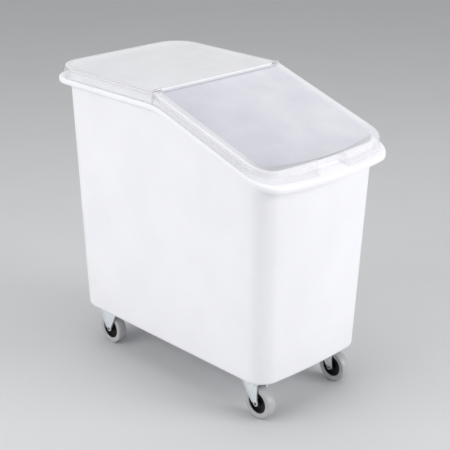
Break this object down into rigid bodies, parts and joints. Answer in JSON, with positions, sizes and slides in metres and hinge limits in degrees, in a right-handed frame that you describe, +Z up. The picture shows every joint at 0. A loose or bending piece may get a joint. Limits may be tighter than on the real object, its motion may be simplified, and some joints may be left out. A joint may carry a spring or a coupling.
{
  "type": "rolling flour bin",
  "caption": "Tapered white plastic flour bin with a slanted front, a clear hinged split lid and steel casters, for keeping dry goods under a worktop.",
  "frame": {"origin": "on the floor, under the middle of the bin's rim", "axes": "+Z up, -Y towards the low slanted front, +X to the right of someone facing the rear wall from the front"},
  "size_m": [0.416, 0.772, 0.7473],
  "materials": {
    "tub_plastic": "fine satin moulding",
    "clear_plastic": "clear and glossy",
    "zinc_steel": "bright zinc plate",
    "bright_steel": "plain bright steel",
    "hub_plastic": "black moulding",
    "tyre_rubber": "grey non-marking rubber",
    "seal_rubber": "dark sealing rubber"
  },
  "bodies": {
    "tub": {"tub": "tub_plastic", "tub_floor": "tub_plastic", "plate_bolts": "bright_steel", "sealing_washers": "seal_rubber", "plate_nuts": "bright_steel", "front_left_top_plate": "zinc_steel", "front_left_kingpin": "zinc_steel", "front_right_top_plate": "zinc_steel", "front_right_kingpin": "zinc_steel", "rear_left_bracket": "zinc_steel", "rear_left_axle_sleeve": "bright_steel", "rear_left_axle_bolt": "bright_steel", "rear_left_axle_nut": "bright_steel", "rear_right_bracket": "zinc_steel", "rear_right_axle_sleeve": "bright_steel", "rear_right_axle_bolt": "bright_steel", "rear_right_axle_nut": "bright_steel"},
    "rear_cover": {"rear_cover": "clear_plastic", "hinge_pin_left": "bright_steel", "hinge_pin_right": "bright_steel"},
    "front_flap": {"front_flap": "clear_plastic"},
    "front_left_swivel": {"front_left_fork": "zinc_steel", "front_left_bearing_balls": "bright_steel", "front_left_axle_sleeve": "bright_steel", "front_left_axle_bolt": "bright_steel", "front_left_axle_nut": "bright_steel"},
    "front_left_wheel": {"front_left_hub": "hub_plastic", "front_left_tyre": "tyre_rubber"},
    "front_right_swivel": {"front_right_fork": "zinc_steel", "front_right_bearing_balls": "bright_steel", "front_right_axle_sleeve": "bright_steel", "front_right_axle_bolt": "bright_steel", "front_right_axle_nut": "bright_steel"},
    "front_right_wheel": {"front_right_hub": "hub_plastic", "front_right_tyre": "tyre_rubber"},
    "rear_left_wheel": {"rear_left_hub": "hub_plastic", "rear_left_tyre": "tyre_rubber"},
    "rear_right_wheel": {"rear_right_hub": "hub_plastic", "rear_right_tyre": "tyre_rubber"}
  },
  "joints": [
    {"name": "cover_lift", "type": "slide", "parent": "tub", "child": "rear_cover", "axis": [0, 0, 1], "range_m": [0, 0.15]},
    {"name": "flap_hinge", "type": "hinge", "parent": "rear_cover", "child": "front_flap", "pos_m": [0, -0.009, 0.7435], "axis": [-1, 0, 0], "range_deg": [0, 195]},
    {"name": "front_left_swivel_turn", "type": "hinge", "parent": "tub", "child": "front_left_swivel", "pos_m": [-0.13, -0.261, 0.095], "axis": [0, 0, 1], "continuous": true},
    {"name": "front_left_wheel_roll", "type": "hinge", "parent": "front_left_swivel", "child": "front_left_wheel", "pos_m": [-0.13, -0.282, 0.04], "axis": [1, 0, 0], "continuous": true},
    {"name": "front_right_swivel_turn", "type": "hinge", "parent": "tub", "child": "front_right_swivel", "pos_m": [0.13, -0.261, 0.095], "axis": [0, 0, 1], "continuous": true},
    {"name": "front_right_wheel_roll", "type": "hinge", "parent": "front_right_swivel", "child": "front_right_wheel", "pos_m": [0.13, -0.282, 0.04], "axis": [1, 0, 0], "continuous": true},
    {"name": "rear_left_wheel_roll", "type": "hinge", "parent": "tub", "child": "rear_left_wheel", "pos_m": [-0.13, 0.258, 0.04], "axis": [1, 0, 0], "continuous": true},
    {"name": "rear_right_wheel_roll", "type": "hinge", "parent": "tub", "child": "rear_right_wheel", "pos_m": [0.13, 0.258, 0.04], "axis": [1, 0, 0], "continuous": true}
  ]
}
